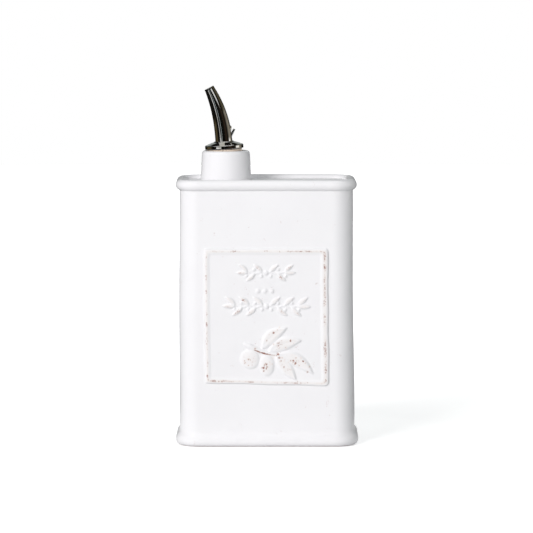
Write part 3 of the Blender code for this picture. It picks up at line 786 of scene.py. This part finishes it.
def build_flange():
    """A closed profile turned round the stopper's axis: skirt, rounded shoulder, bowed crown and collar."""
    hole = SPOUT_BASE_RADIUS + FIT_GAP
    collar = hole + COLLAR_WIDTH
    skirt = collar + COLLAR_WIDTH
    top, halfway = FLANGE_CROWN + COLLAR_HEIGHT, FLANGE_CROWN + COLLAR_HEIGHT / 2
    shoulder = FLANGE_RADIUS - FLANGE_ROUNDING
    bow = ((shoulder + collar) / 2, (FLANGE_SHOULDER + FLANGE_CROWN) / 2 + FLANGE_BOW)
    curl = FLANGE_SHEET / 2
    foot, turn = FLANGE_FOOT + curl, FLANGE_SHOULDER - FLANGE_ROUNDING
    wall, under = FLANGE_RADIUS - FLANGE_SHEET, FLANGE_SHOULDER - FLANGE_SHEET
    return put_turned_ring("domed_flange", [
        arc((FLANGE_RADIUS - curl, foot), curl, -90, 0, 5),
        between((FLANGE_RADIUS, foot), (FLANGE_RADIUS, turn), 4)[:-1],
        arc((shoulder, turn), FLANGE_ROUNDING, 0, 80, 10),
        outline(
            (shoulder, FLANGE_SHOULDER),
            (bow, (skirt, FLANGE_CROWN), 14),
            ((collar, FLANGE_CROWN), (collar, halfway), 5),
            ((collar, top), (collar - COLLAR_WIDTH / 2, top), 5),
            ((hole, top), (hole, top - COLLAR_BREAK), 4),
            ((hole, FLANGE_CROWN - FLANGE_SHEET), 3),
            ((wall - FLANGE_ROUNDING, under), 6),
            ((wall, under), (wall, under - FLANGE_ROUNDING), 5),
            ((wall, foot), 3),
            ((wall + FLANGE_FOOT_FLARE, FLANGE_FOOT), 2),
        ),
    ])


def spout_middle(share):
    """The spout's middle line: x = -reach share^2.2, z = foot + height share."""
    return points_of(-SPOUT_REACH * share**SPOUT_BEND_POWER, 0, SPOUT_FOOT + SPOUT_HEIGHT * share)


def spout_radius(share):
    """The spout's radius: base + (tip - base) share^1.85."""
    return SPOUT_BASE_RADIUS + (SPOUT_TIP_RADIUS - SPOUT_BASE_RADIUS) * share**SPOUT_TAPER_POWER


def build_spout():
    """A horn of thin sheet: circles square to the middle line, with a hood pushed out over the slot in its
    back. The slot's faces are left out and its edge points are moved on to its outline, and the sheet gets
    its thickness inwards."""
    rows, columns = 240, 176
    share = np.linspace(0, 1, rows)[:, None]
    cosine, sine = directions_round(columns, math.pi / columns)
    behind = cosine > 0
    y = spout_radius(share) * sine
    z = SPOUT_FOOT + SPOUT_HEIGHT * share + 0 * sine
    centre = np.clip(z, SLOT_LOW + SLOT_RADIUS, SLOT_HIGH - SLOT_RADIUS)
    away = np.hypot(y, z - centre)
    in_slot = (away < SLOT_RADIUS) & behind
    quads = grid_quads(rows, columns)
    quads = quads[~in_slot.ravel()[quads].all(axis=1)]
    scale = np.where(in_slot, SLOT_RADIUS / (away + TINY), 1)
    y = y * scale
    z = centre + (z - centre) * scale
    share = (z - SPOUT_FOOT) / SPOUT_HEIGHT
    radius = spout_radius(share)
    out = np.where(behind, 1, -1) * np.sqrt((radius**2 - y**2).clip(0))
    over = ease(z, *HOOD_LOW) * (1 - ease(z, *HOOD_HIGH))
    out = out + HOOD_REACH * over * (1 - ease(np.abs(y), *HOOD_SIDE)) * behind
    roll = 1 + SPOUT_ROLL * ease(share, SPOUT_ROLL_START, 1) / radius
    out, y = out * roll, y * roll
    slope = -SPOUT_BEND_POWER * SPOUT_REACH / SPOUT_HEIGHT * share ** (SPOUT_BEND_POWER - 1)
    norm = np.hypot(slope, 1)
    points = spout_middle(share) + points_of(out / norm, y, -out * slope / norm)
    used, quads = np.unique(quads, return_inverse=True)
    piece = put_mesh("horn_spout", on_stopper(points).reshape(-1, 3)[used], quads.reshape(-1, 4))
    sheet = piece.modifiers.new("sheet", "SOLIDIFY")
    sheet.thickness = SPOUT_SHEET
    sheet.offset = -1
    return piece


def build_stem():
    """A closed profile turned round the stopper's axis: a straight tube with a bead under the cork."""
    inside = STEM_RADIUS - STEM_WALL
    low = outline((inside, STEM_FOOT), ((STEM_RADIUS, STEM_FOOT), 2), ((STEM_RADIUS, STEM_BEAD_FOOT), 4))
    bead = arc((STEM_RADIUS, STEM_BEAD_TOP - STEM_BEAD), STEM_BEAD, -90, 90, 14)
    high = ((STEM_RADIUS, STEM_TOP), 16), ((inside, STEM_TOP), 2), ((inside, STEM_FOOT), 20)
    profile = [low[:-1], bead, outline((STEM_RADIUS, STEM_BEAD_TOP), *high)]
    return put_turned_ring("straight_stem", profile, 96)


def build_air_tube():
    """A thin tube carried along its path, outer circles up and inner circles back: straight up inside the
    stem, round an arc of 29 degrees and out through the slot."""
    foot, turn = (AIR_OFFSET, AIR_FOOT), (AIR_OFFSET, AIR_TURN)
    middle = (AIR_OFFSET + AIR_BEND_RADIUS, AIR_TURN)
    curve = arc(middle, (-AIR_BEND_RADIUS, AIR_BEND_RADIUS), 0, AIR_BEND, 15)
    angle = math.radians(AIR_BEND)
    tip = curve[-1] + AIR_REACH * np.array((math.sin(angle), math.cos(angle)))
    path = joined([foot], between(foot, turn, 23)[:-1], curve, between(curve[-1], tip, 11))
    heading = joined(np.zeros(23), np.linspace(0, angle, 16), np.full(11, angle))[:, None]
    cosine, sine = directions_round(48)

    def tube(radius):
        out = radius * cosine
        x, z = path[:, 0, None] + out * np.cos(heading), path[:, 1, None] - out * np.sin(heading)
        return points_of(x, radius * sine, z)

    rings = on_stopper(joined(tube(AIR_RADIUS), tube(AIR_BORE)[::-1]))
    return put_mesh("vent_tube", rings.reshape(-1, 3), grid_quads(*rings.shape[:2], wrap_rows=True))


def set_inputs(node, inputs):
    """Sets a node's inputs to values, or links them to sockets or to the first open output of nodes."""
    for key, value in inputs.items():
        if isinstance(value, bpy.types.Node):
            value = next(output for output in value.outputs if output.enabled)
        if isinstance(value, bpy.types.NodeSocket):
            node.id_data.links.new(value, node.inputs[key])
        else:
            node.inputs[key].default_value = value


def add_node(tree, kind, inputs=None, **settings):
    """Adds a shader node with its settings and its inputs."""
    made = tree.nodes.new("ShaderNode" + kind)
    for key, value in settings.items():
        setattr(made, key, value)
    set_inputs(made, inputs or {})
    return made


def new_material(name):
    """A node material, what adds a node to it, and its shader."""
    material = bpy.data.materials.new(name)
    material.use_nodes = True
    return material, partial(add_node, material.node_tree), material.node_tree.nodes["Principled BSDF"]


def glazed_earthenware(finishes):
    """White tin glaze on a red earthenware body, slip-cast and finished by hand. It gives the eye a milky
    white with soft broad highlights, a faint unevenness that bends them, and brown specks where the
    glaze has broken or worn away on the ridges. The clay is bare on the foot's standing edge."""
    material, add, shader = new_material("white_tin_glazed_earthenware")
    place = add("TexCoord").outputs["Object"]
    clay = opaque(finishes.clay)
    # The glaze lies unevenly over patches of 30 mm or so, a shade thinner here and there.
    patches = add("TexNoise", {"Vector": place, "Scale": 1 / 0.030, "Detail": 2.0})
    tint = add("MapRange", {0: patches, 1: 0.3, 2: 0.7, 4: 0.35})
    full, thin = opaque(finishes.glaze), opaque(finishes.glaze, (0.955, 0.95, 0.96))
    coat = add("Mix", {0: tint, 6: full, 7: thin}, data_type="RGBA")
    # On the ridges the glaze runs thin and the clay tints it cream, and specks of 0.9 mm break through.
    worn = add("Attribute", attribute_name="worn").outputs["Fac"]
    grain = add("TexNoise", {"Vector": place, "Scale": 1 / 0.0009, "Detail": 2.0})
    cover = add("TexNoise", {"Vector": place, "Scale": 1 / 0.0055, "Detail": 1.0})
    both = add("Math", {0: grain, 1: cover})
    raised = add("Math", {0: worn, 1: both})
    blush = add("Math", {0: worn, 1: both}, operation="MULTIPLY")
    film = add("MapRange", {0: blush, 2: 0.42, 4: 0.18})
    honey = opaque(finishes.glaze, (0.90, 0.66, 0.44))
    skin_deep = add("Mix", {0: film, 6: coat, 7: honey}, data_type="RGBA")
    mask = add("MapRange", {0: raised, 1: 1.34, 2: 1.74, 4: finishes.wear})
    face = add("Mix", {0: mask, 6: skin_deep, 7: clay}, data_type="RGBA")
    # The foot's standing edge was wiped clean of glaze before firing, up to 0.35 mm from the ground.
    height = add("SeparateXYZ", {0: place}).outputs["Z"]
    bare = add("MapRange", {0: height, 1: 0.0002, 2: 0.0005, 3: 1.0, 4: 0.0})
    whole = add("Mix", {0: bare, 6: face, 7: clay}, data_type="RGBA")
    rough = add("Math", {0: mask, 1: bare}, operation="MAXIMUM")
    dull = add("MapRange", {0: rough, 3: 0.24, 4: 0.75})
    # Ripples of 9 mm from the slip and the brush, a finer skin of 2 mm in the glaze, and the chips' edges
    ripples = add("TexNoise", {"Vector": place, "Scale": 1 / 0.009, "Detail": 1.0})
    skin = add("TexNoise", {"Vector": place, "Scale": 1 / 0.002, "Detail": 2.0})
    normal = add("Bump", {"Height": ripples, "Distance": 0.00022, "Strength": 0.6})
    normal = add("Bump", {"Height": skin, "Distance": 0.00003, "Strength": 0.6, "Normal": normal})
    chipped = {"Height": mask, "Distance": 0.0001, "Strength": 0.7, "Normal": normal}
    normal = add("Bump", chipped, invert=True)
    set_inputs(shader, {"Base Color": whole, "Roughness": dull, "Normal": normal, "IOR": 1.5})
    return material


def natural_cork(finishes):
    """A cork punched from bark and sanded. It gives the eye a dry, matt peach tan with cells of about
    half a millimetre and dark elongated pores."""
    material, add, shader = new_material("sanded_natural_cork")
    place = add("TexCoord").outputs["Object"]
    upright = {"Vector": place, "Location": (0.0278, 0, -0.193), "Scale": (1, 1, 0.45)}
    centred = add("Mapping", upright)
    cells = add("TexVoronoi", {"Vector": centred, "Scale": 1 / 0.0006})
    pores = add("TexNoise", {"Vector": centred, "Scale": 1 / 0.0016, "Detail": 3.0})
    shade = add("MapRange", {0: cells, 2: 0.8, 3: 1.0, 4: 0.0})
    light, dark, deep = (opaque(finishes.cork, share) for share in (1, 0.86, 0.30))
    body = add("Mix", {0: shade, 6: dark, 7: light}, data_type="RGBA")
    open_pore = add("MapRange", {0: pores, 1: 0.64, 2: 0.71})
    face = add("Mix", {0: open_pore, 6: body, 7: deep}, data_type="RGBA")
    bump = add("Bump", {"Height": pores, "Distance": 0.00015, "Strength": 0.7}, invert=True)
    set_inputs(shader, {"Base Color": face, "Roughness": 0.85, "Normal": bump})
    return material


def polished_chrome(finishes):
    """Bright chrome plating on drawn and pressed brass. It gives the eye a mirror that is almost all dark
    surroundings, cut by thin bright streaks along the form, with a haze of handling."""
    material, add, shader = new_material("polished_chromed_brass")
    place = add("TexCoord").outputs["Object"]
    haze = add("TexNoise", {"Vector": place, "Scale": 1 / 0.004, "Detail": 3.0})
    rough = add("MapRange", {0: haze, 1: 0.35, 2: 0.7, 3: 0.03, 4: 0.08})
    tint = add("MapRange", {0: haze, 1: 0.35, 2: 0.7})
    bright, dull = opaque(finishes.chrome), opaque(finishes.chrome, (0.86, 0.83, 0.76))
    colour = add("Mix", {0: tint, 6: bright, 7: dull}, data_type="RGBA")
    # Faint lines of polishing, 0.35 mm apart round the form
    lines = add("Mapping", {"Vector": place, "Scale": (0.2, 0.2, 1)})
    swirl = add("TexNoise", {"Vector": lines, "Scale": 1 / 0.00035, "Detail": 1.0})
    bump = add("Bump", {"Height": swirl, "Distance": 0.000004, "Strength": 0.5})
    set_inputs(shader, {"Base Color": colour, "Roughness": rough, "Normal": bump, "Metallic": 1.0})
    return material


class OILCAN_OT_glazed_can(bpy.types.Operator):
    """Builds the glazed can and the raised panel on its front"""

    bl_idname = "oil_can.glazed_can"
    bl_label = "Glazed can"

    def execute(self, context):
        sizes, finishes = context.scene.oil_can_sizes, context.scene.oil_can_finishes
        glaze = glazed_earthenware(finishes)
        settle(build_can_shell(sizes), "can", "can_body", glaze)
        settle(build_relief_panel(sizes), "can", "can_body", glaze)
        return {"FINISHED"}


class OILCAN_OT_cork(bpy.types.Operator):
    """Builds the tapered cork"""

    bl_idname = "oil_can.cork"
    bl_label = "Cork"

    def execute(self, context):
        cork = natural_cork(context.scene.oil_can_finishes)
        settle(build_cork(), "stopper", "cork_stopper", cork)
        return {"FINISHED"}


class OILCAN_OT_pourer(bpy.types.Operator):
    """Builds the pourer's flange, spout, stem and air tube"""

    bl_idname = "oil_can.pourer"
    bl_label = "Chromed pourer"

    def execute(self, context):
        chrome = polished_chrome(context.scene.oil_can_finishes)
        settle(build_flange(), "pourer", "spout_flange", chrome)
        settle(build_spout(), "pourer", "pour_spout", chrome)
        settle(build_stem(), "pourer", "stem_tube", chrome)
        settle(build_air_tube(), "pourer", "air_tube", chrome)
        return {"FINISHED"}


def seen_rays(add, mirrored):
    """1 for the camera's rays and those through glass, and a share for those from mirrors."""
    path = add("LightPath")
    glossy = add("Math", {0: path.outputs["Is Glossy Ray"], 1: mirrored}, operation="MULTIPLY")
    seen = add("Math", {0: path.outputs["Is Camera Ray"], 1: glossy}, operation="MAXIMUM")
    return add("Math", {0: seen, 1: path.outputs["Is Transmission Ray"]}, operation="MAXIMUM")


def build_floor():
    """A round floor: rings of points whose radius grows by the square of the share."""
    rows, columns = 24, 96
    radius = FLOOR_RADIUS * np.linspace(0.05, 1, rows)[::-1] ** 2
    rings = circles(directions_round(columns), points_of(radius, 0))
    points = joined(rings.reshape(-1, 3), [[0, 0, 0]])
    last = np.arange(columns) + (rows - 1) * columns
    piece = put_mesh("pale_floor", points, grid_quads(rows, columns), fan(last, len(points) - 1))
    material, add, shader = new_material("white_paper_sweep")
    # The camera and mirrors see paper that is lit to white. Near the can the glow and the lamps' light make
    # a little more than white together, so the can's shadow still shows on it. Mirrors get less of the glow.
    place = add("TexCoord").outputs["Object"]
    away = add("VectorMath", {0: place}, operation="LENGTH")
    glow = add("MapRange", {0: away, 1: 0.15, 2: 0.9, 3: 0.53})
    strength = add("Math", {0: glow, 1: seen_rays(add, 0.25)}, operation="MULTIPLY")
    paper = {"Base Color": opaque(srgb("#E5E5E5")), "Roughness": 0.9}
    set_inputs(shader, {**paper, "Emission Color": (1, 1, 1, 1), "Emission Strength": strength})
    piece.data.materials.append(material)


def build_painted_reflection_cards():
    """Cards round the can, which only mirrors see: a sheet that runs out over the table and up a cylinder.
    Its glow paints reflections of bright strips and of a dark room into the chrome and the glaze. The angle
    a is 0 at the front and grows to the right. The glow is the dark room plus the sum of share x colour, and
    a card's share is 1 between its bounds and falls to 0 over its soft edge."""
    a = np.radians(np.linspace(-180, 180, 361))
    over_table = points_of(np.linspace(0.14, ROOM_RADIUS, 12), 0.002)
    upright = points_of(ROOM_RADIUS, 0.03 + 2.17 * np.linspace(0, 1, 120) ** 1.6)
    points = circles((np.sin(a), -np.cos(a)), joined(over_table, upright))
    z = points[..., 2]
    quads = grid_quads(*points.shape[:2], wrap_columns=False)
    piece = put_mesh("painted_reflection_cards", points.reshape(-1, 3), quads)
    # Painted reflections: a dark room, with each card's bright strip or khaki, brown or grey patch added
    glow = np.zeros((*points.shape[:2], 4)) + opaque(srgb("#0E0D0A"))
    for middle, half_width, soft, low, high, code in CARDS:
        away = np.abs((np.degrees(a) - middle + 180) % 360 - 180)
        share = 1 - ease(away, half_width - soft / 2, half_width + soft / 2)
        share = share * ease(z, low - CARD_LOW_EDGE, low + CARD_LOW_EDGE)
        share = share * (1 - ease(z, high - CARD_HIGH_EDGE, high + CARD_HIGH_EDGE))
        glow[..., :3] += share[..., None] * srgb(code)
    add_attribute(piece, "glow", glow, "FLOAT_COLOR", "color")
    # The cards glow and so paint reflections, which only mirrors see
    material, add, shader = new_material("painted_reflection_card")
    tone = add("Attribute", attribute_name="glow").outputs["Color"]
    black = {"Base Color": (0, 0, 0, 1), "Roughness": 1.0}
    set_inputs(shader, {**black, "Emission Color": tone, "Emission Strength": 1.0})
    piece.data.materials.append(material)
    for ray in ("camera", "diffuse", "transmission", "volume_scatter", "shadow"):
        setattr(piece, f"visible_{ray}", False)


def aim(piece, place, target):
    """Puts a lamp or a camera in its place and turns it to its target."""
    piece.location = place
    piece.rotation_euler = (Vector(target) - Vector(place)).to_track_quat("-Z", "Y").to_euler()


def add_lamps():
    """Square soft lamps that neither the camera nor mirrors see."""
    for name, (place, size, watts, tint) in LAMPS.items():
        lamp = bpy.data.lights.new(name, "AREA")
        lamp.size, lamp.energy, lamp.color = size, watts, tint
        piece = put_object(name, lamp)
        piece.visible_glossy = piece.visible_camera = False
        aim(piece, place, LAMP_TARGET)


def add_camera():
    """A long lens a little above the can, aimed at its middle height."""
    data = bpy.data.cameras.new("camera")
    data.lens = CAMERA_LENS
    data.sensor_width = CAMERA_SENSOR
    camera = put_object("camera", data)
    aim(camera, CAMERA_PLACE, CAMERA_TARGET)
    bpy.context.scene.camera = camera


def light_room():
    """A white room to the camera and to mirrors, and a weaker one to the can's own surface."""
    world = bpy.data.worlds.new("white_room")
    bpy.context.scene.world = world
    world.use_nodes = True
    add = partial(add_node, world.node_tree)
    dim, white = opaque(srgb("#A2A5A5")), (1, 1, 1, 1)
    room = add("Mix", {0: seen_rays(add, 1.0), 6: dim, 7: white}, data_type="RGBA")
    set_inputs(world.node_tree.nodes["Background"], {"Color": room, "Strength": 1.0})


class OILCAN_OT_stage(bpy.types.Operator):
    """Lays the floor, puts up the glowing cards that paint reflections, lights the table and sets up the
    camera
    """

    bl_idname = "oil_can.stage"
    bl_label = "Floor, light and camera"

    def execute(self, context):
        build_floor()
        build_painted_reflection_cards()
        add_lamps()
        light_room()
        add_camera()
        context.scene.view_settings.view_transform = "Standard"
        return {"FINISHED"}


class OILCAN_PT_dressing(bpy.types.Panel):
    """Lists the pieces, sizes and finishes of the oil can"""

    bl_idname = "OILCAN_PT_dressing"
    bl_label = "Oil can"
    bl_space_type = "VIEW_3D"
    bl_region_type = "UI"
    bl_category = "Oil can"

    def draw(self, context):
        for step in STEPS:
            self.layout.operator(step.bl_idname)
        for group in (context.scene.oil_can_sizes, context.scene.oil_can_finishes):
            column = self.layout.column(align=True)
            for key in group.__annotations__:
                column.prop(group, key)


STEPS = (OILCAN_OT_glazed_can, OILCAN_OT_cork, OILCAN_OT_pourer, OILCAN_OT_stage)
CLASSES = (OilCanSizes, OilCanFinishes, *STEPS, OILCAN_PT_dressing)


def register():
    for item in CLASSES:
        bpy.utils.register_class(item)
    bpy.types.Scene.oil_can_sizes = PointerProperty(type=OilCanSizes)
    bpy.types.Scene.oil_can_finishes = PointerProperty(type=OilCanFinishes)


def unregister():
    del bpy.types.Scene.oil_can_finishes
    del bpy.types.Scene.oil_can_sizes
    for item in reversed(CLASSES):
        bpy.utils.unregister_class(item)


def main():
    """Builds every piece."""
    register()
    bpy.ops.oil_can.glazed_can()
    bpy.ops.oil_can.cork()
    bpy.ops.oil_can.pourer()
    bpy.ops.oil_can.stage()


if __name__ == "__main__":
    main()
